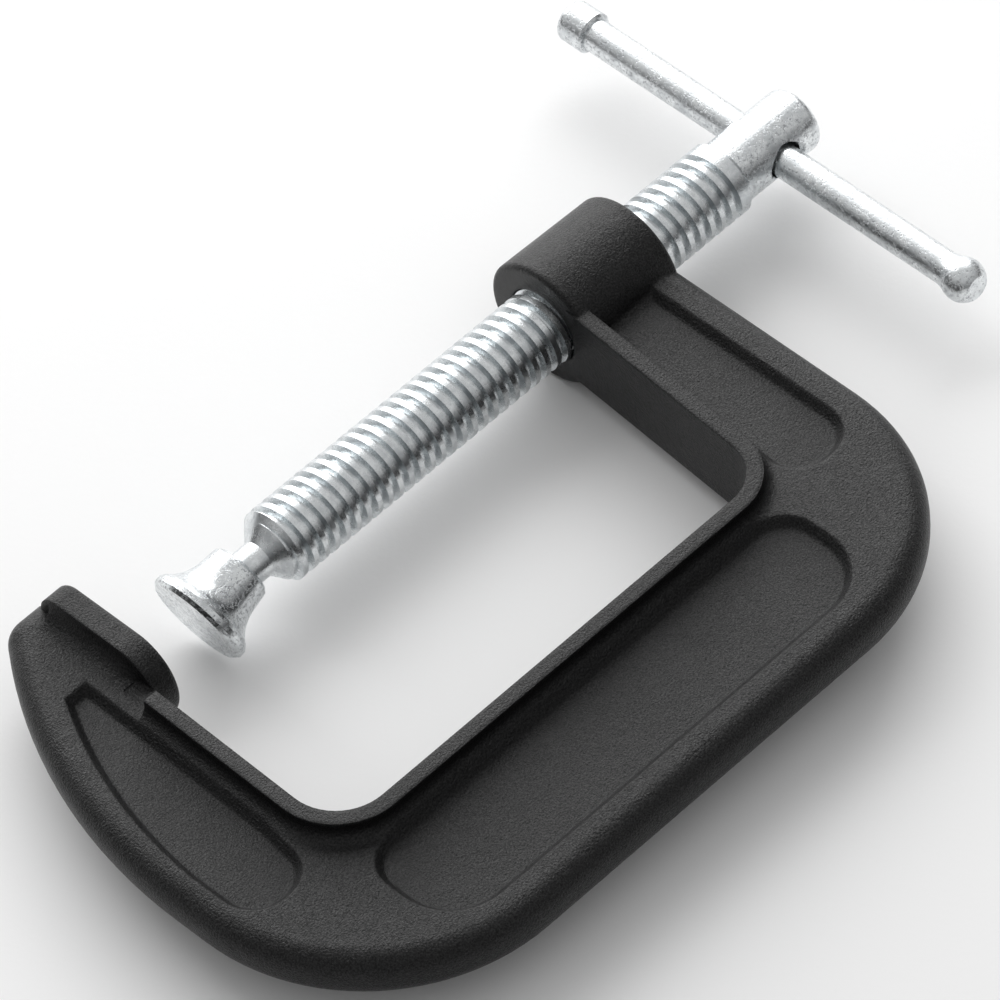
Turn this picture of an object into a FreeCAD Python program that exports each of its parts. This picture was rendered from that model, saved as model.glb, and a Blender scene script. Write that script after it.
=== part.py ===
"""C clamp (G clamp) of the 75 mm class, lying on its side.

Row frame: origin where the screw axis meets the anvil face, +X along the screw towards the
tommy bar, +Z up out of the flat of the casting, so the spine lies on the -Y side.
All sizes are millimetres and live in the Size spreadsheet.
"""
import FreeCAD, Part
import os
import re

import Sketcher

SIZES = {
    # casting, outline in plan
    "tip_y": 19.0,
    "tip_back_x": -12.46,
    "tip_back_y": 17.08,
    "tip_round_x": -8.52,
    "outer_left_x": -32.8,
    "outer_arc_foot_y": -42.0,
    "outer_arc_radius": 96.0,
    "spine_outer_y": -87.9,
    "outer_right_x": 117.9,
    "corner_left_radius": 39.0,
    "corner_right_radius": 36.5,
    "corner_tip_radius": 5.0,
    "web_top_y": -4.0,
    # casting, throat flange
    "throat_y": -55.1,
    "lower_arm_top_x": -6.6,
    "lower_arm_base_x": -7.8,
    "upper_arm_base_x": 91.8,
    "upper_arm_top_x": 95.6,
    "flange_width": 2.8,
    "flange_lower_end_y": -12.4,
    "flange_upper_end_y": -6.0,
    "throat_left_radius": 9.8,
    "throat_right_radius": 8.6,
    "web_inset": 1.2,
    # casting, thicknesses on each side of the middle plane
    "web_half": 4.6,
    "flange_half": 8.2,
    "anvil_half": 8.9,
    "outer_edge_radius": 4.2,
    "flange_root_radius": 2.4,
    # casting, recessed panels
    "panel_half": 2.9,
    "panel_margin": 8.2,
    "panel_root_gap": 2.95,
    "panel_cut_top": 5.44,
    "panel_small_radius": 5.5,
    "panel_large_radius": 9.5,
    "panel_wall_slope": 42.0,
    "spine_panel_left_x": -6.9,
    "spine_panel_right_x": 89.6,
    "spine_panel_top_y": -60.85,
    "upper_panel_foot_y": -57.0,
    "lower_panel_margin": 6.2,
    "lower_panel_foot_y": -54.5,
    "lower_panel_foot_x": -14.5,
    "lower_panel_top_y": -1.5,
    "lower_panel_back_x": -14.9,
    "upper_panel_top_y": -5.0,
    # casting, anvil
    "anvil_depth": 5.0,
    "anvil_round_y": -1.9,
    "anvil_tip_y": 16.4,
    "anvil_tip_radius": 4.0,
    "anvil_edge_radius": 1.2,
    "anvil_neck_front_x": -4.0,
    "anvil_neck_depth": 4.2,
    "anvil_neck_half": 4.58,
    "anvil_neck_foot_y": -6.0,
    "anvil_blend_top": 8.4,
    "anvil_blend_curve": 3.85,
    "anvil_blend_end_y": 13.9,
    "heel_half": 4.4,
    "heel_start_y": -5.5,
    "heel_front_y": -9.2,
    "heel_foot_x": -8.8,
    "heel_foot_y": -12.6,
    # casting, boss
    "boss_start_x": 95.7,
    "boss_end_x": 117.2,
    "boss_start_radius": 12.1,
    "boss_end_radius": 11.6,
    "boss_edge_radius": 0.9,
    "boss_foot_radius": 3.5,
    "boss_foot_sink": 0.1,
    # how far a cut runs on past the material
    "overrun": 1.0,
    # thread
    "pitch": 2.5,
    "thread_radius": 7.0,
    "thread_root_radius": 5.8,
    "groove_crest_half": 0.72,
    "groove_root_half": 0.42,
    "groove_overrun": 0.1,
    "thread_clearance": 0.2,
    "thread_side_clearance": 0.18,
    "thread_start_x": 27.4,
    "thread_length": 110.0,
    "bore_lead_in": 1.4,
    "nut_first_turn": 26,
    "nut_turns": 11,
    # spindle
    "ball_x": 22.0,
    "ball_radius": 4.2,
    "ball_flat_radius": 0.9,
    "neck_radius": 3.4,
    "shoulder_x": 28.4,
    "shoulder_end_x": 32.0,
    "head_x": 140.0,
    "head_radius": 6.05,
    "head_end_x": 158.0,
    "head_end_radius": 1.6,
    "head_lead": 0.9,
    "bar_x": 149.3,
    "cross_hole_radius": 3.5,
    "cross_hole_flare": 0.7,
    # retaining ring
    "ring_wire_radius": 0.45,
    "ring_mean_radius": 4.2,
    "ring_offset": 0.35,
    "ring_gap_angle": 24.0,
    "ring_groove_clearance": 0.1,
    # swivel pad, measured from the ball centre
    "pad_face": 9.0,
    "pad_face_radius": 8.7,
    "pad_rim_bevel": 0.7,
    "pad_rim_radius": 9.4,
    "pad_rim_width": 1.0,
    "pad_flare_start": 6.6,
    "pad_flare_radius": 8.9,
    "pad_flare_curve": 8.0,
    "pad_throat": 0.9,
    "pad_throat_radius": 5.9,
    "pad_collar_radius": 5.5,
    "pad_mouth": 2.8,
    "pad_mouth_radius": 4.42,
    "pad_lip_width": 0.6,
    "pad_lip_edge": 0.45,
    "socket_radius": 4.9,
    "socket_seat_radius": 4.28,
    "socket_seat_start": 2.0,
    "pad_droop": 15.6,
    # tommy bar
    "bar_radius": 3.0,
    "bar_drop": 0.45,
    "bar_ball_y": -46.0,
    "bar_ball_radius": 3.95,
    "bar_ball_flat": 0.9,
    "bar_ball_back": 1.7,
    "bar_blend_end": 4.6,
    "bar_blend_radius": 6.0,
    "bar_shoulder_y": 39.4,
    "bar_spigot_radius": 2.3,
    "bar_spigot_length": 4.2,
    "cap_length": 6.0,
    "cap_radius": 3.85,
    "cap_edge_radius": 1.3,
    "cap_shoulder_bevel": 0.4,
    "cap_fit": 0.02,
}

PARTS_DIR = "parts"

doc = FreeCAD.newDocument("CClamp")
sheet = doc.addObject("Spreadsheet::Sheet", "Size")
for row, (alias, value) in enumerate(SIZES.items(), start=1):
    sheet.set(f"A{row}", alias)
    sheet.set(f"B{row}", str(value))
    sheet.setAlias(f"B{row}", alias)
doc.recompute()


def in_sheet(expression):
    """The expression with every alias written as Size.alias."""
    def full_name(word):
        return f"Size.{word.group()}" if word.group() in SIZES else word.group()

    return re.sub(r"[a-z][a-z_]*", full_name, expression)


def number(expression):
    """Number that an expression in the aliases stands for."""
    return float(sheet.evalExpression(in_sheet(expression)))


# ---------------------------------------------------------------- feature helpers


def new_body(name):
    """Body for one piece; its name is the node name."""
    body = doc.addObject("PartDesign::Body", name)
    body.Label = name
    return body


def origin_feature(body, role):
    """Plane or axis of a body's own origin, such as XY_Plane or X_Axis."""
    return next(item for item in body.Origin.OriginFeatures if item.Role == role)


def arc_between(start, end, radius):
    """Arc of the radius from start to end; a positive radius turns it anticlockwise."""
    chord = end - start
    middle = (start + end) * 0.5
    across = FreeCAD.Vector(-chord.y, chord.x, 0).normalize()
    rise = (radius * radius - chord.Length ** 2 / 4) ** 0.5
    side = 1 if radius > 0 else -1
    centre = middle + across * rise * side
    bulge = centre - across * abs(radius) * side
    return Part.Arc(start, bulge, end)


def outline(body, name, role, corners, arcs=None, offset=None):
    """Closed sketch through the corners, which are pairs of expressions.

    arcs gives the radius expression of each side that is not straight, by the number
    of the corner it starts from. offset moves the sketch along its plane's normal.
    """
    arcs = arcs or {}
    sketch = body.newObject("Sketcher::SketchObject", name)
    sketch.AttachmentSupport = [(origin_feature(body, role), "")]
    sketch.MapMode = "FlatFace"
    if offset:
        sketch.setExpression("AttachmentOffset.Base.z", in_sheet(offset))
    points = [FreeCAD.Vector(number(x), number(y), 0) for x, y in corners]
    for side, start in enumerate(points):
        end = points[(side + 1) % len(points)]
        if side in arcs:
            sketch.addGeometry(arc_between(start, end, number(arcs[side])))
        else:
            sketch.addGeometry(Part.LineSegment(start, end))
    starts = [1] * len(points)
    ends = [2] * len(points)
    for side, radius in arcs.items():
        if number(radius) < 0:
            starts[side], ends[side] = 2, 1
    for side in range(len(points)):
        following = (side + 1) % len(points)
        sketch.addConstraint(
            Sketcher.Constraint("Coincident", side, ends[side], following, starts[following])
        )
    for side, (x, y) in enumerate(corners):
        for direction, expression in (("DistanceX", x), ("DistanceY", y)):
            place(sketch, direction, side, starts[side], expression)
    for side, radius in arcs.items():
        constraint = sketch.addConstraint(
            Sketcher.Constraint("Radius", side, abs(number(radius)))
        )
        sketch.setExpression(f"Constraints[{constraint}]", in_sheet(radius.lstrip("-")))
    return sketch


def place(sketch, direction, side, end, expression):
    """Hold one coordinate of a sketch point at an expression."""
    constraint = sketch.addConstraint(
        Sketcher.Constraint(direction, -1, 1, side, end, number(expression))
    )
    sketch.setExpression(f"Constraints[{constraint}]", in_sheet(expression))


def pad(body, name, sketch, length, both_ways=False, backwards=False):
    """Extrude a sketch; both_ways centres it on the sketch plane."""
    feature = body.newObject("PartDesign::Pad", name)
    feature.Profile = sketch
    feature.setExpression("Length", in_sheet(length))
    feature.Midplane = both_ways
    feature.Reversed = backwards
    doc.recompute()
    return feature


def turned(body, name, sketch, axis, cut=False):
    """Revolve a sketch a full turn, adding material or cutting it."""
    kind = "Groove" if cut else "Revolution"
    feature = body.newObject(f"PartDesign::{kind}", name)
    feature.Profile = sketch
    feature.ReferenceAxis = axis
    feature.Angle = 360
    doc.recompute()
    return feature


def thread_groove(body, name, sketch, length):
    """Right-hand helical cut along the body's X axis."""
    feature = body.newObject("PartDesign::SubtractiveHelix", name)
    feature.Profile = sketch
    feature.ReferenceAxis = (origin_feature(body, "X_Axis"), [""])
    feature.Mode = "pitch-height-angle"
    feature.setExpression("Pitch", in_sheet("pitch"))
    feature.setExpression("Height", in_sheet(length))
    doc.recompute()
    return feature


def edges_where(shape, wanted):
    """Names of the edges whose midpoint and curve satisfy a test."""
    names = []
    for count, edge in enumerate(shape.Edges, start=1):
        if edge.Length > 0 and wanted(edge, edge.valueAt(edge.getParameterByLength(edge.Length / 2))):
            names.append(f"Edge{count}")
    return names


def rounded(body, name, radius, wanted):
    """Fillet every edge of the body so far that passes the test."""
    base = body.Tip
    feature = body.newObject("PartDesign::Fillet", name)
    feature.Base = (base, edges_where(base.Shape, wanted))
    feature.setExpression("Radius", in_sheet(radius))
    doc.recompute()
    return feature


def is_upright(edge):
    """Whether an edge is a straight line along Z."""
    if not isinstance(edge.Curve, Part.Line):
        return False
    return abs(edge.Curve.Direction.z) > 0.999


def near(first, second, tolerance=0.05):
    return abs(first - second) < tolerance


# ---------------------------------------------------------------- frame casting


def add_web(body):
    """Flat C of the casting with a bullnose outer edge."""
    corners = [
        ("tip_round_x", "tip_y"),
        ("tip_back_x", "tip_back_y"),
        ("outer_left_x", "outer_arc_foot_y"),
        ("outer_left_x", "spine_outer_y"),
        ("outer_right_x", "spine_outer_y"),
        ("outer_right_x", "web_top_y"),
        ("upper_arm_top_x + web_inset", "web_top_y"),
        ("upper_arm_base_x + web_inset", "throat_y - web_inset"),
        ("lower_arm_base_x - web_inset", "throat_y - web_inset"),
        ("lower_arm_top_x - web_inset", "tip_y"),
    ]
    arcs = {0: "corner_tip_radius", 1: "outer_arc_radius"}
    sketch = outline(body, "WebOutline", "XY_Plane", corners, arcs)
    pad(body, "Web", sketch, "2 * web_half", both_ways=True)
    rounded_corners = [
        ("LeftCorner", "corner_left_radius", corners[3]),
        ("RightCorner", "corner_right_radius", corners[4]),
    ]
    for name, radius, (x, y) in rounded_corners:
        round_corner(body, name, radius, number(x), number(y))
    half = number("web_half")
    left = number("lower_arm_base_x - flange_width")
    right = number("upper_arm_top_x + 2 * flange_width")
    bottom = number("spine_panel_top_y")
    top = number("tip_y")

    def on_outer_path(edge, middle):
        outside = middle.x < left or middle.x > right or middle.y < bottom or near(middle.y, top)
        return near(abs(middle.z), half) and outside

    rounded(body, "OuterEdge", "outer_edge_radius", on_outer_path)


def round_corner(body, name, radius, x, y):
    """Round the upright edges of the body that stand at x, y."""
    rounded(
        body, name, radius,
        lambda edge, middle: is_upright(edge) and near(middle.x, x) and near(middle.y, y),
    )


def add_flange(body):
    """Thick rib round the throat, blended into the web behind it."""
    corners = [
        ("lower_arm_top_x", "flange_lower_end_y"),
        ("lower_arm_top_x - flange_width", "flange_lower_end_y"),
        ("lower_arm_base_x - flange_width", "throat_y - flange_width"),
        ("upper_arm_base_x + flange_width", "throat_y - flange_width"),
        ("upper_arm_top_x + flange_width", "flange_upper_end_y"),
        ("upper_arm_top_x", "flange_upper_end_y"),
        ("upper_arm_base_x", "throat_y"),
        ("lower_arm_base_x", "throat_y"),
    ]
    sketch = outline(body, "FlangeOutline", "XY_Plane", corners)
    pad(body, "Flange", sketch, "2 * flange_half", both_ways=True)
    rounded_corners = [
        ("ThroatLeft", "throat_left_radius", corners[7]),
        ("ThroatRight", "throat_right_radius", corners[6]),
        ("FlangeLeft", "throat_left_radius + flange_width", corners[2]),
        ("FlangeRight", "throat_right_radius + flange_width", corners[3]),
    ]
    for name, radius, (x, y) in rounded_corners:
        round_corner(body, name, radius, number(x), number(y))
    half = number("web_half")

    def at_flange_foot(edge, middle):
        width = number("flange_width")
        left = number("lower_arm_base_x") - 2 * width
        right = number("upper_arm_top_x") + 2 * width
        bottom = number("throat_y") - 1.5 * width
        inside = left < middle.x < right and middle.y > bottom
        return near(abs(middle.z), half) and inside and not is_web_end(middle)

    rounded(body, "FlangeRoot", "flange_root_radius", at_flange_foot)


def is_web_end(middle):
    """Whether the middle of an edge lies on or beyond an open end of the flange."""
    end = "flange_upper_end_y" if middle.x > 0 else "flange_lower_end_y"
    return middle.y > number(f"{end} - overrun")


def add_panels(body):
    """Recessed panels of the spine and both arms, on both faces of the web.

    The sloping walls carry on above the web and run out in the root curve of the flange.
    """
    foot = "spine_outer_y + panel_margin"
    left, right, top = "spine_panel_left_x", "spine_panel_right_x", "spine_panel_top_y"
    small, large = "panel_small_radius", "panel_large_radius"
    spine_corners = [
        (left, f"{top} - {small}"),
        (left, f"{foot} + {large}"),
        (f"{left} + {large}", foot),
        (f"{right} - {large}", foot),
        (right, f"{foot} + {large}"),
        (right, f"{top} - {small}"),
        (f"{right} - {small}", top),
        (f"{left} + {small}", top),
    ]
    spine_arcs = {1: large, 3: large, 5: small, 7: small}
    inner = "upper_arm_base_x + flange_width + panel_root_gap"
    outer = "outer_right_x - panel_margin"
    foot = "upper_panel_foot_y"
    upper_corners = [
        ("upper_arm_top_x + flange_width + panel_root_gap", "upper_panel_top_y"),
        (inner, f"{foot} + {small}"),
        (f"{inner} + {small}", foot),
        (f"{outer} - {small}", foot),
        (outer, f"{foot} + {small}"),
        (outer, "upper_panel_top_y"),
    ]
    upper_arcs = {1: small, 3: small}
    outer = "outer_left_x + lower_panel_margin"
    inner = "lower_panel_foot_x"
    foot = "lower_panel_foot_y"
    lower_corners = [
        ("lower_panel_back_x", "lower_panel_top_y"),
        (outer, "outer_arc_foot_y"),
        (outer, f"{foot} + {small}"),
        (f"{outer} + {small}", foot),
        (f"{inner} - {small}", foot),
        (inner, f"{foot} + {small}"),
        ("lower_arm_base_x - flange_width - panel_root_gap", "outer_arc_foot_y"),
        ("lower_arm_top_x - flange_width - panel_root_gap", "lower_panel_top_y"),
    ]
    lower_arcs = {0: "outer_arc_radius - lower_panel_margin", 2: small, 4: small}
    panels = [
        ("SpinePanel", spine_corners, spine_arcs),
        ("UpperPanel", upper_corners, upper_arcs),
        ("LowerPanel", lower_corners, lower_arcs),
    ]
    for name, corners, arcs in panels:
        sketch = outline(body, f"{name}Outline", "XY_Plane", corners, arcs, offset="panel_half")
        recess = body.newObject("PartDesign::Pocket", f"{name}Top")
        recess.Profile = sketch
        recess.setExpression("Length", in_sheet("panel_cut_top - panel_half"))
        recess.setExpression("TaperAngle", in_sheet("panel_wall_slope"))
        recess.Reversed = True
        doc.recompute()
        other_face = body.newObject("PartDesign::Mirrored", f"{name}Bottom")
        other_face.Originals = [recess]
        other_face.MirrorPlane = (origin_feature(body, "XY_Plane"), [""])
        body.Tip = other_face
        doc.recompute()


# ---------------------------------------------------------------- anvil and boss


def add_anvil(body):
    """Block behind the anvil face, round towards the throat and blended into the web."""
    neck_shoulder = "tip_y - outer_edge_radius"
    neck_corner = "anvil_neck_half - outer_edge_radius"
    corners = [
        ("tip_y", f"-1 * ({neck_corner})"),
        ("tip_y", neck_corner),
        (neck_shoulder, "anvil_neck_half"),
        ("anvil_neck_foot_y", "anvil_neck_half"),
        ("anvil_neck_foot_y", "-1 * anvil_neck_half"),
        (neck_shoulder, "-1 * anvil_neck_half"),
    ]
    arcs = {1: "outer_edge_radius", 5: "outer_edge_radius"}
    sketch = outline(body, "AnvilNeckOutline", "YZ_Plane", corners, arcs, offset="anvil_neck_front_x")
    pad(body, "AnvilNeck", sketch, "anvil_neck_depth", backwards=True)
    shoulder = "anvil_tip_y - anvil_tip_radius"
    corner = "anvil_half - anvil_tip_radius"
    corners = [
        ("anvil_tip_y", f"-1 * ({corner})"),
        ("anvil_tip_y", corner),
        (shoulder, "anvil_half"),
        ("anvil_round_y", "anvil_half"),
        ("anvil_round_y - anvil_half", "0"),
        ("anvil_round_y", "-1 * anvil_half"),
        (shoulder, "-1 * anvil_half"),
    ]
    arcs = {1: "anvil_tip_radius", 3: "anvil_half", 4: "anvil_half", 6: "anvil_tip_radius"}
    sketch = outline(body, "AnvilFace", "YZ_Plane", corners, arcs)
    pad(body, "Anvil", sketch, "anvil_depth", backwards=True)
    rounded(body, "AnvilEdge", "anvil_edge_radius", lambda edge, middle: near(middle.x, 0))
    add_anvil_blend(body)
    add_heel(body)


def add_heel(body):
    """Low wedge between the round end of the anvil block and the end of the throat flange."""
    corners = [
        ("anvil_neck_front_x", "heel_start_y"),
        ("heel_foot_x", "heel_start_y"),
        ("heel_foot_x", "heel_foot_y"),
        ("lower_arm_top_x", "heel_foot_y"),
        ("anvil_neck_front_x", "heel_front_y"),
    ]
    sketch = outline(body, "HeelOutline", "XY_Plane", corners)
    pad(body, "Heel", sketch, "2 * heel_half", both_ways=True)


def add_anvil_blend(body):
    """Hollow curve from the back of the anvil block down to the web, on both faces."""
    top, inner = "anvil_blend_top", "-1 * anvil_depth"
    outer = "-1 * (anvil_depth + anvil_blend_curve)"
    foot = f"{top} - anvil_blend_curve"
    section = [
        (inner, f"-1 * {top}"),
        (inner, top),
        (outer, foot),
        (outer, f"-1 * ({foot})"),
    ]
    arcs = {1: "-anvil_blend_curve", 3: "-anvil_blend_curve"}
    end = "-1 * anvil_blend_end_y"
    sketch = outline(body, "BlendAlong", "XZ_Plane", section, arcs, offset=end)
    pad(body, "BlendStraight", sketch, "anvil_blend_end_y - anvil_round_y")
    half_section = [
        (inner, "anvil_round_y"),
        (inner, f"anvil_round_y + {top}"),
        (outer, f"anvil_round_y + {foot}"),
        (outer, "anvil_round_y"),
    ]
    sketch = outline(body, "BlendRound", "XY_Plane", half_section, {1: "-anvil_blend_curve"})
    turned(body, "BlendTurned", sketch, (sketch, ["Edge4"]))
    sketch = outline(body, "BlendTip", "XZ_Plane", section, arcs, offset=end)
    turned(body, "BlendTipTurned", sketch, (sketch, ["Edge1"]))


def add_boss(body):
    """Tapered boss that carries the nut thread, with a hollow curve down to the upper panel."""
    corners = [
        ("boss_start_x", "0"),
        ("boss_end_x", "0"),
        ("boss_end_x", "boss_end_radius"),
        ("boss_start_x", "boss_start_radius"),
    ]
    sketch = outline(body, "BossOutline", "XY_Plane", corners)
    turned(body, "Boss", sketch, (origin_feature(body, "X_Axis"), [""]))
    ends = [(number(f"boss_{end}_x"), number(f"boss_{end}_radius")) for end in ("start", "end")]

    def at_boss_end(edge, middle):
        if not isinstance(edge.Curve, Part.Circle):
            return False
        return any(near(middle.x, x) and near(edge.Curve.Radius, radius) for x, radius in ends)

    rounded(body, "BossEdge", "boss_edge_radius", at_boss_end)
    add_boss_foot(body)


def add_boss_foot(body):
    """Hollow curve between the boss and the recessed panel beside it, on both faces.

    Its section is a circle of the foot radius that touches the boss and the panel floor.
    """
    floor = "(panel_half - boss_foot_sink)"
    centre_z = f"({floor} + boss_foot_radius)"
    reach = "(boss_end_radius + boss_foot_radius)"
    centre_y = f"sqrt({reach} ^ 2 - {centre_z} ^ 2)"
    on_boss_y = f"-1 * {centre_y} * boss_end_radius / {reach}"
    on_boss_z = f"{centre_z} * boss_end_radius / {reach}"
    corners = [
        (on_boss_y, f"-1 * {on_boss_z}"),
        (on_boss_y, on_boss_z),
        (f"-1 * {centre_y}", floor),
        (f"-1 * {centre_y}", f"-1 * {floor}"),
    ]
    arcs = {1: "-boss_foot_radius", 3: "-boss_foot_radius"}
    start = "upper_arm_top_x + flange_width"
    sketch = outline(body, "BossFootOutline", "YZ_Plane", corners, arcs, offset=start)
    pad(body, "BossFoot", sketch, f"outer_right_x - outer_edge_radius - ({start})")


def add_nut_thread(body):
    """Bore with lead-in chamfers and the internal thread that the spindle runs in."""
    bore = "thread_root_radius + thread_clearance"
    mouth = "thread_radius + 2 * thread_clearance"
    corners = [
        ("boss_start_x - overrun", "0"),
        ("boss_end_x + overrun", "0"),
        ("boss_end_x + overrun", mouth),
        ("boss_end_x", mouth),
        ("boss_end_x - bore_lead_in", bore),
        ("boss_start_x + bore_lead_in", bore),
        ("boss_start_x", mouth),
        ("boss_start_x - overrun", mouth),
    ]
    sketch = outline(body, "BoreOutline", "XY_Plane", corners)
    turned(body, "Bore", sketch, (origin_feature(body, "X_Axis"), [""]), cut=True)
    start = "thread_start_x + (nut_first_turn + 0.5) * pitch"
    sketch = groove_outline(
        body, "NutGrooveOutline", start,
        "0.5 * pitch - groove_root_half + thread_side_clearance",
        "0.5 * pitch - groove_crest_half + thread_side_clearance",
        "thread_root_radius",
        "thread_radius + thread_clearance",
    )
    thread_groove(body, "NutThread", sketch, "nut_turns * pitch")


def groove_outline(body, name, centre, inner_half, outer_half, inner_radius, outer_radius):
    """Trapezium across one thread groove, in the half plane +Y of XY."""
    corners = [
        (f"{centre} - ({inner_half})", inner_radius),
        (f"{centre} + {inner_half}", inner_radius),
        (f"{centre} + {outer_half}", outer_radius),
        (f"{centre} - ({outer_half})", outer_radius),
    ]
    return outline(body, name, "XY_Plane", corners)


def make_frame():
    body = new_body("frame")
    add_web(body)
    add_flange(body)
    add_panels(body)
    add_anvil(body)
    add_boss(body)
    add_nut_thread(body)
    return body


# ---------------------------------------------------------------- spindle


def make_spindle():
    """Threaded spindle with a ball tip and a cross-drilled head."""
    body = new_body("spindle")
    x_axis = (origin_feature(body, "X_Axis"), [""])
    tip_x = "ball_x - sqrt(ball_radius ^ 2 - ball_flat_radius ^ 2)"
    corners = [
        (tip_x, "0"),
        (tip_x, "ball_flat_radius"),
        ("ball_x + sqrt(ball_radius ^ 2 - neck_radius ^ 2)", "neck_radius"),
        ("shoulder_x", "neck_radius"),
        ("shoulder_end_x", "thread_radius"),
        ("head_x - head_lead", "thread_radius"),
        ("head_x", "head_radius"),
        ("head_end_x - head_end_radius", "head_radius"),
        ("head_end_x", "head_radius - head_end_radius"),
        ("head_end_x", "0"),
    ]
    arcs = {1: "-ball_radius", 7: "-head_end_radius"}
    sketch = outline(body, "SpindleOutline", "XY_Plane", corners, arcs)
    turned(body, "SpindleTurning", sketch, x_axis)
    ring_x = "ball_x + ring_offset"
    groove_half = "ring_wire_radius + ring_groove_clearance"
    groove_floor = "ring_mean_radius - ring_wire_radius - ring_groove_clearance"
    corners = [
        (f"{ring_x} - ({groove_half})", groove_floor),
        (f"{ring_x} + {groove_half}", groove_floor),
        (f"{ring_x} + {groove_half}", "ball_radius + overrun"),
        (f"{ring_x} - ({groove_half})", "ball_radius + overrun"),
    ]
    sketch = outline(body, "RingGrooveOutline", "XY_Plane", corners)
    turned(body, "RingGroove", sketch, x_axis, cut=True)
    sketch = groove_outline(
        body, "ThreadGrooveOutline", "thread_start_x",
        "groove_root_half", "groove_crest_half + groove_overrun",
        "thread_root_radius", "thread_radius + 4 * groove_overrun",
    )
    thread_groove(body, "Thread", sketch, "thread_length")
    add_cross_hole(body)
    return body


def add_cross_hole(body):
    """Hole through the head for the tommy bar, flared where it breaks out."""
    reach = "head_radius + overrun"
    flare_y = "head_radius - cross_hole_flare"
    corners = [
        ("0", f"-1 * ({reach})"),
        ("cross_hole_radius + cross_hole_flare", f"-1 * ({reach})"),
        ("cross_hole_radius + cross_hole_flare", "-1 * head_radius"),
        ("cross_hole_radius", f"-1 * ({flare_y})"),
        ("cross_hole_radius", flare_y),
        ("cross_hole_radius + cross_hole_flare", "head_radius"),
        ("cross_hole_radius + cross_hole_flare", reach),
        ("0", reach),
    ]
    sketch = outline(body, "CrossHoleOutline", "XY_Plane", corners)
    sketch.setExpression("AttachmentOffset.Base.x", in_sheet("bar_x"))
    doc.recompute()
    turned(body, "CrossHole", sketch, (sketch, ["V_Axis"]), cut=True)


# ---------------------------------------------------------------- ring and pad


def make_ring():
    """Split wire ring in the groove of the ball tip, behind the lip of the pad."""
    body = new_body("retaining_ring")
    sketch = body.newObject("Sketcher::SketchObject", "WireSection")
    sketch.AttachmentSupport = [(origin_feature(body, "XY_Plane"), "")]
    sketch.MapMode = "FlatFace"
    centre = FreeCAD.Vector(0, number("ring_mean_radius"), 0)
    normal = FreeCAD.Vector(0, 0, 1)
    sketch.addGeometry(Part.Circle(centre, normal, number("ring_wire_radius")))
    radius = sketch.addConstraint(Sketcher.Constraint("Radius", 0, number("ring_wire_radius")))
    sketch.setExpression(f"Constraints[{radius}]", in_sheet("ring_wire_radius"))
    place(sketch, "DistanceY", 0, 3, "ring_mean_radius")
    place(sketch, "DistanceX", 0, 3, "0")
    ring = body.newObject("PartDesign::Revolution", "Ring")
    ring.Profile = sketch
    ring.ReferenceAxis = (origin_feature(body, "X_Axis"), [""])
    ring.setExpression("Angle", in_sheet("360 - ring_gap_angle"))
    body.setExpression("Placement.Base.x", in_sheet("ball_x + ring_offset"))
    doc.recompute()
    return body


def make_pad():
    """Bell-shaped swivel pad, modelled about its ball centre and then drooped."""
    body = new_body("swivel_pad")
    x_axis = (origin_feature(body, "X_Axis"), [""])
    face = "-1 * pad_face"
    bell = [
        (face, "0"),
        (face, "pad_face_radius"),
        (f"{face} + pad_rim_bevel", "pad_rim_radius"),
        (f"{face} + pad_rim_bevel + pad_rim_width", "pad_rim_radius"),
        ("-1 * pad_flare_start", "pad_flare_radius"),
        ("-1 * pad_throat", "pad_throat_radius"),
        ("pad_mouth - pad_lip_width", "pad_collar_radius"),
        ("pad_mouth", "pad_mouth_radius + pad_lip_edge"),
        ("pad_mouth", "0"),
    ]
    arcs = {4: "pad_flare_curve"}
    sketch = outline(body, "PadOutline", "XY_Plane", bell, arcs)
    turned(body, "PadTurning", sketch, x_axis)
    seat_x = "-1 * socket_seat_start"
    socket = [
        ("-1 * socket_seat_radius", "0"),
        (seat_x, "sqrt(socket_seat_radius ^ 2 - socket_seat_start ^ 2)"),
        (seat_x, "sqrt(socket_radius ^ 2 - socket_seat_start ^ 2)"),
        ("sqrt(socket_radius ^ 2 - pad_mouth_radius ^ 2)", "pad_mouth_radius"),
        ("pad_mouth + overrun", "pad_mouth_radius"),
        ("pad_mouth + overrun", "0"),
    ]
    arcs = {0: "-socket_seat_radius", 2: "-socket_radius"}
    sketch = outline(body, "SocketOutline", "XY_Plane", socket, arcs)
    turned(body, "Socket", sketch, x_axis, cut=True)
    body.setExpression("Placement.Base.x", in_sheet("ball_x"))
    body.Placement.Rotation = FreeCAD.Rotation(FreeCAD.Vector(0, 1, 0), -number("pad_droop"))
    doc.recompute()
    return body


# ---------------------------------------------------------------- tommy bar


def make_bar():
    """Tommy bar with a forged ball at one end and a spigot at the other."""
    body = new_body("tommy_bar")
    ball_end = "bar_ball_y - bar_ball_radius + bar_ball_flat"
    corners = [
        ("0", ball_end),
        ("sqrt(bar_ball_radius ^ 2 - (bar_ball_radius - bar_ball_flat) ^ 2)", ball_end),
        ("sqrt(bar_ball_radius ^ 2 - bar_ball_back ^ 2)", "bar_ball_y + bar_ball_back"),
        ("bar_radius", "bar_ball_y + bar_blend_end"),
        ("bar_radius", "bar_shoulder_y"),
        ("bar_spigot_radius", "bar_shoulder_y"),
        ("bar_spigot_radius", "bar_shoulder_y + bar_spigot_length"),
        ("0", "bar_shoulder_y + bar_spigot_length"),
    ]
    arcs = {1: "bar_ball_radius", 2: "-bar_blend_radius"}
    sketch = outline(body, "BarOutline", "XY_Plane", corners, arcs)
    turned(body, "BarTurning", sketch, (origin_feature(body, "Y_Axis"), [""]))
    set_on_bar_axis(body)
    return body


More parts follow.
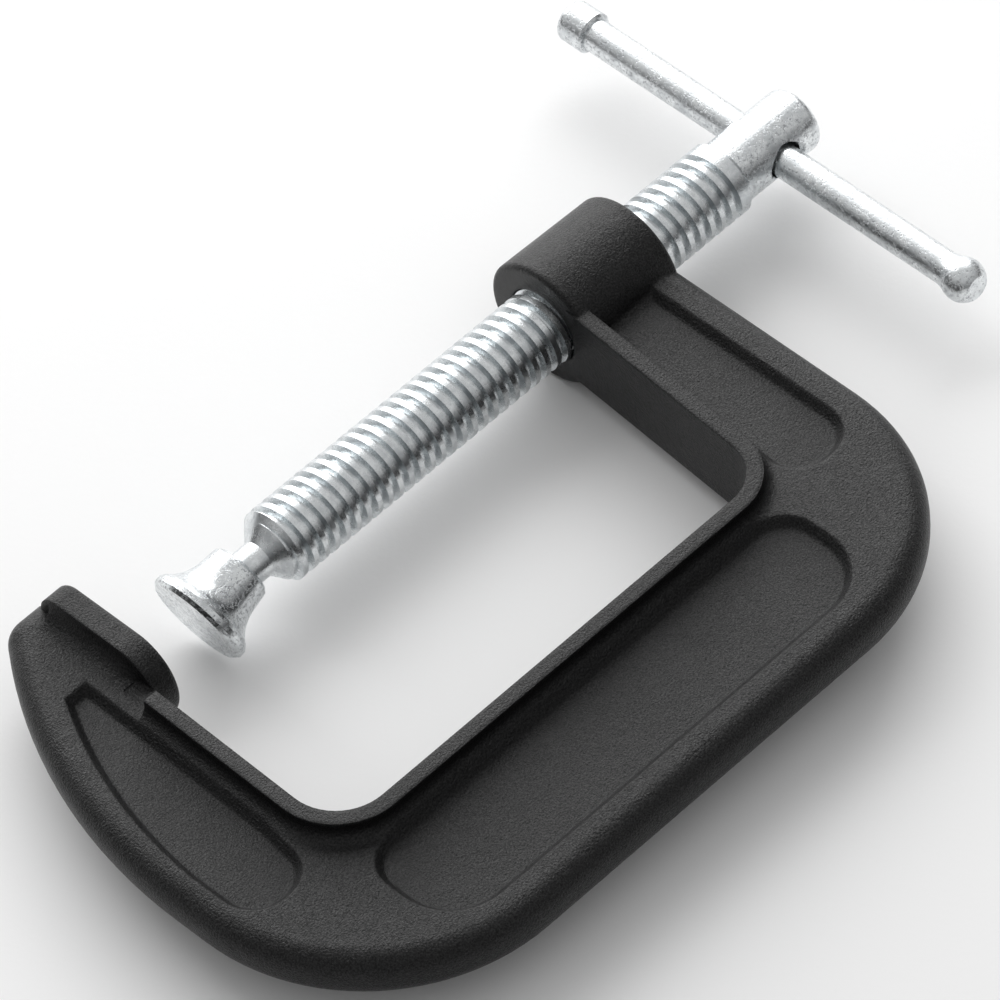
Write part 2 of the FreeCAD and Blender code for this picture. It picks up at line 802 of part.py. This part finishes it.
def make_cap():
    """Barrel knob pressed on the spigot of the tommy bar."""
    body = new_body("bar_end_cap")
    bore = "bar_spigot_radius + cap_fit"
    end = "bar_shoulder_y + cap_length"
    corners = [
        (bore, "bar_shoulder_y"),
        ("cap_radius - cap_shoulder_bevel", "bar_shoulder_y"),
        ("cap_radius", "bar_shoulder_y + cap_shoulder_bevel"),
        ("cap_radius", f"{end} - cap_edge_radius"),
        ("cap_radius - cap_edge_radius", end),
        ("0", end),
        ("0", "bar_shoulder_y + bar_spigot_length + 4 * cap_fit"),
        (bore, "bar_shoulder_y + bar_spigot_length + 4 * cap_fit"),
    ]
    sketch = outline(body, "CapOutline", "XY_Plane", corners, {3: "cap_edge_radius"})
    turned(body, "CapTurning", sketch, (origin_feature(body, "Y_Axis"), [""]))
    set_on_bar_axis(body)
    return body


def set_on_bar_axis(body):
    """Lay a body in the cross hole, resting on its lower side."""
    body.setExpression("Placement.Base.x", in_sheet("bar_x"))
    body.setExpression("Placement.Base.z", in_sheet("-1 * bar_drop"))
    doc.recompute()


# ---------------------------------------------------------------- build and export


def check(body):
    """Stop if any feature failed or the body is not one valid solid."""
    for feature in body.Group + [body]:
        if "Invalid" in feature.State or "Error" in feature.State:
            raise RuntimeError(f"{body.Label}: {feature.Name} is {feature.State}")
    if body.Shape.isNull() or not body.Shape.isValid() or len(body.Shape.Solids) != 1:
        raise RuntimeError(f"{body.Label}: not one valid solid")


def main():
    makers = [make_frame, make_spindle, make_ring, make_pad, make_bar, make_cap]
    os.makedirs(PARTS_DIR, exist_ok=True)
    for maker in makers:
        body = maker()
        check(body)
        body.Shape.exportStep(os.path.join(PARTS_DIR, f"{body.Label}.step"))


main()
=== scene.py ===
import math

import bpy
from mathutils import Matrix, Vector


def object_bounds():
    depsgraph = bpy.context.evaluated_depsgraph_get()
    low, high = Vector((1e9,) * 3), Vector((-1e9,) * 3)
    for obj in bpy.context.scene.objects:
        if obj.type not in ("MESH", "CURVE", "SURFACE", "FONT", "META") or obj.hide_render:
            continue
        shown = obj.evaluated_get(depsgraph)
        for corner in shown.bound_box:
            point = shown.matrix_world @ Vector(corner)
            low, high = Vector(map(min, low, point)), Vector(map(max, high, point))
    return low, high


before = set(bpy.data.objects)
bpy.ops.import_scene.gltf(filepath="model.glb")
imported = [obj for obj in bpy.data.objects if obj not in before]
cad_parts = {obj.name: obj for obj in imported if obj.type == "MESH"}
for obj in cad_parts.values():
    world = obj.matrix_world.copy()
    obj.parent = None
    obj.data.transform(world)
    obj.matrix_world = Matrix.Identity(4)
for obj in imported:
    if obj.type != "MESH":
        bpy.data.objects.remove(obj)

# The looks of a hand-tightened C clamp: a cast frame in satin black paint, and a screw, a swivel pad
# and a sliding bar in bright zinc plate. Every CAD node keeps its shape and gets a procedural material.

MM = 0.001

# Colours are linear red, green and blue.
PAINT_BLACK = (0.0030, 0.0030, 0.0032)
PAINT_WORN = (0.0085, 0.0085, 0.0088)
ZINC = (0.80, 0.825, 0.835)
ZINC_CLOUDED = (0.58, 0.605, 0.62)
ZINC_SCRATCHED = (0.37, 0.38, 0.40)
SPRING_WIRE = (0.58, 0.59, 0.62)
FLOOR_WHITE = (0.90, 0.90, 0.90)

# Thick paint rounds the edges of the casting by this much, and its texture is this high, in metres.
EDGE_SOFTNESS = 1.1 * MM
EDGE_SAMPLES = 4
LUMP_HEIGHT = 0.16 * MM
PEEL_HEIGHT = 0.20 * MM
GRAIN_HEIGHT = 0.10 * MM

# How strongly the paint reflects, in the hollows of the grain and on its tops.
PAINT_GLINT = (0.12, 0.46)
PAINT_COAT = 0.05
PAINT_COAT_ROUGHNESS = 0.30

# The rolled thread ends here along X, in metres. It has this share of the head's pits and scratches.
THREAD_END_X = 0.1395
THREAD_WEAR = 0.25

# How often marks repeat along each axis, per metre: they run the way of the smallest numbers.
MARKS_ALONG_SCREW = (260.0, 1500.0, 1500.0)
MARKS_ROUND_PAD = (5200.0, 500.0, 500.0)
MARKS_ALONG_BAR = (1800.0, 120.0, 1800.0)
MARKS_ALONG_CAP = (1800.0, 160.0, 1800.0)
MARKS_ROUND_RING = (9000.0, 1200.0, 1200.0)
SCRATCHES = (900.0, 2600.0, 1300.0)

# The marks and pits stand this high or deep, in metres.
SCREW_MARK_HEIGHT = 0.012 * MM
MARK_HEIGHT = 0.010 * MM
PIT_DEPTH = 0.03 * MM

# Roughness, from the shiniest places of a surface to its dullest.
PAINT_ROUGHNESS = (0.32, 0.44)
THREAD_ROUGHNESS = (0.20, 0.34)
PAD_ROUGHNESS = (0.16, 0.32)
BAR_ROUGHNESS = (0.22, 0.40)
CAP_ROUGHNESS = (0.20, 0.36)
WIRE_ROUGHNESS = (0.22, 0.36)
PAPER_ROUGHNESS = 0.9

# The camera looks at this point of the row frame, from this distance, in metres and degrees.
CAMERA_TARGET = (0.05646, -0.02920, 0.01254)
CAMERA_DISTANCE = 1.6805
CAMERA_AZIMUTH = -41.45
CAMERA_ELEVATION = 49.61
CAMERA_ROLL = -5.80
CAMERA_LENS_MM = 371.2
SENSOR_MM = 36.0
CAMERA_NEAR = 0.01
CAMERA_FAR = 50.0

# The softbox stands behind the object and faces its middle, in degrees, metres and watts.
SOFTBOX_AZIMUTH = 148.0
SOFTBOX_ELEVATION = 30.0
SOFTBOX_DISTANCE = 1.2
SOFTBOX_WIDTH = 1.7
SOFTBOX_HEIGHT = 1.25
SOFTBOX_WATTS = 22.0

# The room's walls end and its ceiling begins at these heights, as the sine of the angle above the floor.
WALL_TOP = 0.15
CEILING_EDGE = 0.60
WALL_GREY = (0.070, 0.070, 0.074)
CEILING_WHITE = (1.0, 1.0, 1.0)
CEILING_STRENGTH = 0.62

# The floor lies just under the object, in metres.
FLOOR_GAP = 0.2 * MM
PAPER_TOOTH = 0.02 * MM
FLOOR_SIZE = 6.0

# A Mix node's colour sockets share their names with its other sockets, so they go by number.
MIX_FIRST = 6
MIX_SECOND = 7
MIX_RESULT = 2


class Nodes:
    """Short calls for building one node tree."""

    def __init__(self, tree):
        self.tree = tree

    def add(self, kind, settings=None, **inputs):
        """Adds a node, sets its properties, and fills its inputs."""
        node = self.tree.nodes.new(kind)
        for name, value in (settings or {}).items():
            setattr(node, name, value)
        for name, value in inputs.items():
            self.fill(node.inputs[name.replace("_", " ")], value)
        return node

    def fill(self, socket, value):
        """Gives an input a plain value, or links it to another node's output."""
        if isinstance(value, bpy.types.NodeSocket):
            self.tree.links.new(value, socket)
        elif socket.type == "RGBA":
            socket.default_value = (*value, 1.0)
        else:
            socket.default_value = value

    def object_space(self):
        return self.add("ShaderNodeTexCoord").outputs["Object"]

    def stretched(self, vector, scale):
        """The same place with each axis scaled, so that a texture runs along one axis."""
        mapping = self.add("ShaderNodeMapping", Vector=vector)
        mapping.inputs["Scale"].default_value = scale
        return mapping.outputs["Vector"]

    def noise(self, vector, scale, detail=3.0, roughness=0.55):
        node = self.add("ShaderNodeTexNoise", Vector=vector, Scale=scale)
        node.inputs["Detail"].default_value = detail
        node.inputs["Roughness"].default_value = roughness
        return node.outputs["Fac"]

    def ramp(self, value, low, high, low_result=0.0, high_result=1.0):
        """Takes a value from low..high to low_result..high_result, and no further."""
        node = self.add("ShaderNodeMapRange", Value=value)
        limits = {"From Min": low, "From Max": high, "To Min": low_result, "To Max": high_result}
        for name, limit in limits.items():
            node.inputs[name].default_value = limit
        return node.outputs["Result"]

    def math(self, operation, first, second):
        node = self.add("ShaderNodeMath", {"operation": operation})
        self.fill(node.inputs[0], first)
        self.fill(node.inputs[1], second)
        return node.outputs["Value"]

    def mix(self, factor, first, second):
        node = self.add("ShaderNodeMix", {"data_type": "RGBA"})
        self.fill(node.inputs["Factor"], factor)
        self.fill(node.inputs[MIX_FIRST], first)
        self.fill(node.inputs[MIX_SECOND], second)
        return node.outputs[MIX_RESULT]

    def bump(self, height, distance, under=None):
        """Raises the surface by height times distance. Under is the bump that this one lies on."""
        node = self.add("ShaderNodeBump", Height=height, Distance=distance, Strength=1.0)
        if under is not None:
            self.fill(node.inputs["Normal"], under)
        return node.outputs["Normal"]


def new_material(name):
    """A material with an empty node tree but for its surface shader."""
    material = bpy.data.materials.new(name)
    material.use_nodes = True
    nodes = Nodes(material.node_tree)
    shader = material.node_tree.nodes["Principled BSDF"]
    return material, nodes, shader


def frame_paint():
    """Satin black paint on a rough casting: lumps, orange peel, grain, dull patches and rubbed spots.

    The grain shows in the shine as well as in the shape.
    """
    material, nodes, shader = new_material("satin_black_paint")
    place = nodes.object_space()
    sand_lumps = nodes.noise(place, 320.0, detail=4.0)
    orange_peel = nodes.noise(place, 2600.0, detail=2.0)
    grain = nodes.noise(place, 3400.0, detail=4.0, roughness=0.7)
    dull_patches = nodes.noise(place, 60.0, detail=5.0, roughness=0.6)
    rubbed = nodes.ramp(nodes.noise(place, 520.0, detail=6.0, roughness=0.7), 0.60, 0.72)

    edges = nodes.add("ShaderNodeBevel", {"samples": EDGE_SAMPLES}, Radius=EDGE_SOFTNESS)
    lumps = nodes.bump(sand_lumps, LUMP_HEIGHT, under=edges.outputs["Normal"])
    peel = nodes.bump(orange_peel, PEEL_HEIGHT, under=lumps)
    fine = nodes.bump(grain, GRAIN_HEIGHT, under=peel)

    nodes.fill(shader.inputs["Base Color"], nodes.mix(rubbed, PAINT_BLACK, PAINT_WORN))
    nodes.fill(shader.inputs["Roughness"], nodes.ramp(dull_patches, 0.30, 0.72, *PAINT_ROUGHNESS))
    nodes.fill(shader.inputs["Normal"], fine)
    nodes.fill(shader.inputs["Specular IOR Level"], nodes.ramp(grain, 0.36, 0.64, *PAINT_GLINT))
    shader.inputs["Coat Weight"].default_value = PAINT_COAT
    shader.inputs["Coat Roughness"].default_value = PAINT_COAT_ROUGHNESS
    return material


def zinc_plate(name, tool_marks, mark_height, roughness, bright_until=None):
    """Zinc plate: cloudy bloom, fine tool marks along one direction, pits and small scratches.

    tool_marks says how often they repeat along each axis. roughness is the lowest and the highest.
    Up to bright_until along X, such as on a rolled thread, there are few pits or scratches.
    """
    material, nodes, shader = new_material(name)
    place = nodes.object_space()
    bloom = nodes.noise(place, 340.0, detail=5.0, roughness=0.66)
    marks = nodes.noise(nodes.stretched(place, tool_marks), 1.0, detail=3.0)
    crossing = nodes.noise(nodes.stretched(place, SCRATCHES), 1.0, detail=5.0, roughness=0.7)
    scratches = nodes.ramp(crossing, 0.62, 0.70)
    pits = nodes.ramp(nodes.noise(place, 1700.0, detail=4.0, roughness=0.7), 0.53, 0.64)

    if bright_until is not None:
        along = nodes.add("ShaderNodeSeparateXYZ", Vector=place).outputs["X"]
        wear = nodes.ramp(along, bright_until - MM, bright_until + MM, THREAD_WEAR, 1.0)
        pits = nodes.math("MULTIPLY", pits, wear)
        scratches = nodes.math("MULTIPLY", scratches, wear)

    clouded = nodes.mix(nodes.ramp(bloom, 0.40, 0.66), ZINC, ZINC_CLOUDED)
    worn = nodes.mix(nodes.math("MULTIPLY", scratches, 0.75), clouded, ZINC_SCRATCHED)
    pitted = nodes.mix(nodes.math("MULTIPLY", pits, 0.85), worn, ZINC_SCRATCHED)

    tooled = nodes.bump(marks, mark_height)
    dented = nodes.bump(nodes.math("MULTIPLY", pits, -1.0), PIT_DEPTH, under=tooled)

    nodes.fill(shader.inputs["Base Color"], pitted)
    nodes.fill(shader.inputs["Roughness"], nodes.ramp(bloom, 0.30, 0.70, *roughness))
    nodes.fill(shader.inputs["Normal"], dented)
    shader.inputs["Metallic"].default_value = 1.0
    return material


def spring_wire():
    """Drawn spring wire: draw marks round the ring and faint heat colour."""
    material, nodes, shader = new_material("drawn_spring_wire")
    place = nodes.object_space()
    drawn = nodes.noise(nodes.stretched(place, MARKS_ROUND_RING), 1.0, detail=3.0)
    heated = nodes.ramp(nodes.noise(place, 420.0, detail=3.0), 0.4, 0.7)
    nodes.fill(shader.inputs["Base Color"], nodes.mix(heated, SPRING_WIRE, ZINC_SCRATCHED))
    nodes.fill(shader.inputs["Roughness"], nodes.ramp(drawn, 0.3, 0.7, *WIRE_ROUGHNESS))
    nodes.fill(shader.inputs["Normal"], nodes.bump(drawn, MARK_HEIGHT))
    shader.inputs["Metallic"].default_value = 1.0
    return material


def floor_material():
    """Matt white studio paper with a very faint tooth."""
    material, nodes, shader = new_material("studio_paper")
    tooth = nodes.noise(nodes.object_space(), 900.0, detail=2.0)
    nodes.fill(shader.inputs["Normal"], nodes.bump(tooth, PAPER_TOOTH))
    shader.inputs["Base Color"].default_value = (*FLOOR_WHITE, 1.0)
    shader.inputs["Roughness"].default_value = PAPER_ROUGHNESS
    shader.inputs["Specular IOR Level"].default_value = 0.1
    return material


def give(material, name):
    """Puts one material in every material slot of a CAD node."""
    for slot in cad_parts[name].material_slots:
        slot.material = material


def add_floor(height):
    half = FLOOR_SIZE / 2
    corners = [(-half, -half, 0), (half, -half, 0), (half, half, 0), (-half, half, 0)]
    mesh = bpy.data.meshes.new("studio_floor")
    mesh.from_pydata(corners, [], [(0, 1, 2, 3)])
    floor = bpy.data.objects.new("studio_floor", mesh)
    floor.location.z = height
    mesh.materials.append(floor_material())
    bpy.context.scene.collection.objects.link(floor)


def add_softbox(aim):
    """A rectangular area light on a sphere round the aim point, facing it."""
    light = bpy.data.lights.new("back", "AREA")
    light.shape = "RECTANGLE"
    light.size = SOFTBOX_WIDTH
    light.size_y = SOFTBOX_HEIGHT
    light.energy = SOFTBOX_WATTS
    lamp = bpy.data.objects.new("back", light)
    around = math.radians(SOFTBOX_AZIMUTH)
    up = math.radians(SOFTBOX_ELEVATION)
    level = math.cos(up)
    away = Vector((math.sin(around) * level, -math.cos(around) * level, math.sin(up)))
    lamp.location = aim + away * SOFTBOX_DISTANCE
    lamp.rotation_euler = (-away).to_track_quat("-Z", "Y").to_euler()
    bpy.context.scene.collection.objects.link(lamp)


def add_world():
    """A studio room: a bright ceiling that fades to the dark walls that metal mirrors as lines."""
    world = bpy.data.worlds.new("studio")
    world.use_nodes = True
    nodes = Nodes(world.node_tree)
    direction = nodes.add("ShaderNodeTexCoord").outputs["Generated"]
    height = nodes.add("ShaderNodeSeparateXYZ", Vector=direction).outputs["Z"]
    ceiling = nodes.ramp(height, WALL_TOP, CEILING_EDGE)
    background = world.node_tree.nodes["Background"]
    nodes.fill(background.inputs["Color"], nodes.mix(ceiling, WALL_GREY, CEILING_WHITE))
    background.inputs["Strength"].default_value = CEILING_STRENGTH
    bpy.context.scene.world = world


def add_camera():
    """A long lens at the viewing angle, rolled slightly."""
    camera_data = bpy.data.cameras.new("camera")
    camera_data.lens = CAMERA_LENS_MM
    camera_data.sensor_width = SENSOR_MM
    camera_data.clip_start = CAMERA_NEAR
    camera_data.clip_end = CAMERA_FAR
    camera = bpy.data.objects.new("camera", camera_data)
    turn = Matrix.Rotation(math.radians(CAMERA_AZIMUTH), 4, "Z")
    tilt = Matrix.Rotation(math.radians(90.0 - CAMERA_ELEVATION), 4, "X")
    roll = Matrix.Rotation(math.radians(CAMERA_ROLL), 4, "Z")
    facing = turn @ tilt @ roll
    away = facing @ Vector((0.0, 0.0, CAMERA_DISTANCE))
    camera.matrix_world = Matrix.Translation(Vector(CAMERA_TARGET) + away) @ facing
    bpy.context.scene.collection.objects.link(camera)
    bpy.context.scene.camera = camera


cad_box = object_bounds()

thread_zinc = zinc_plate(
    "zinc_on_thread",
    MARKS_ALONG_SCREW,
    SCREW_MARK_HEIGHT,
    THREAD_ROUGHNESS,
    bright_until=THREAD_END_X,
)
give(frame_paint(), "frame")
give(thread_zinc, "spindle")
give(zinc_plate("zinc_on_pad", MARKS_ROUND_PAD, MARK_HEIGHT, PAD_ROUGHNESS), "swivel_pad")
give(zinc_plate("zinc_on_bar", MARKS_ALONG_BAR, MARK_HEIGHT, BAR_ROUGHNESS), "tommy_bar")
give(zinc_plate("zinc_on_cap", MARKS_ALONG_CAP, MARK_HEIGHT, CAP_ROUGHNESS), "bar_end_cap")
give(spring_wire(), "retaining_ring")

middle = (cad_box[0] + cad_box[1]) / 2
add_floor(cad_box[0].z - FLOOR_GAP)
add_world()
add_softbox(middle)
add_camera()
bpy.context.scene.view_settings.view_transform = "Standard"
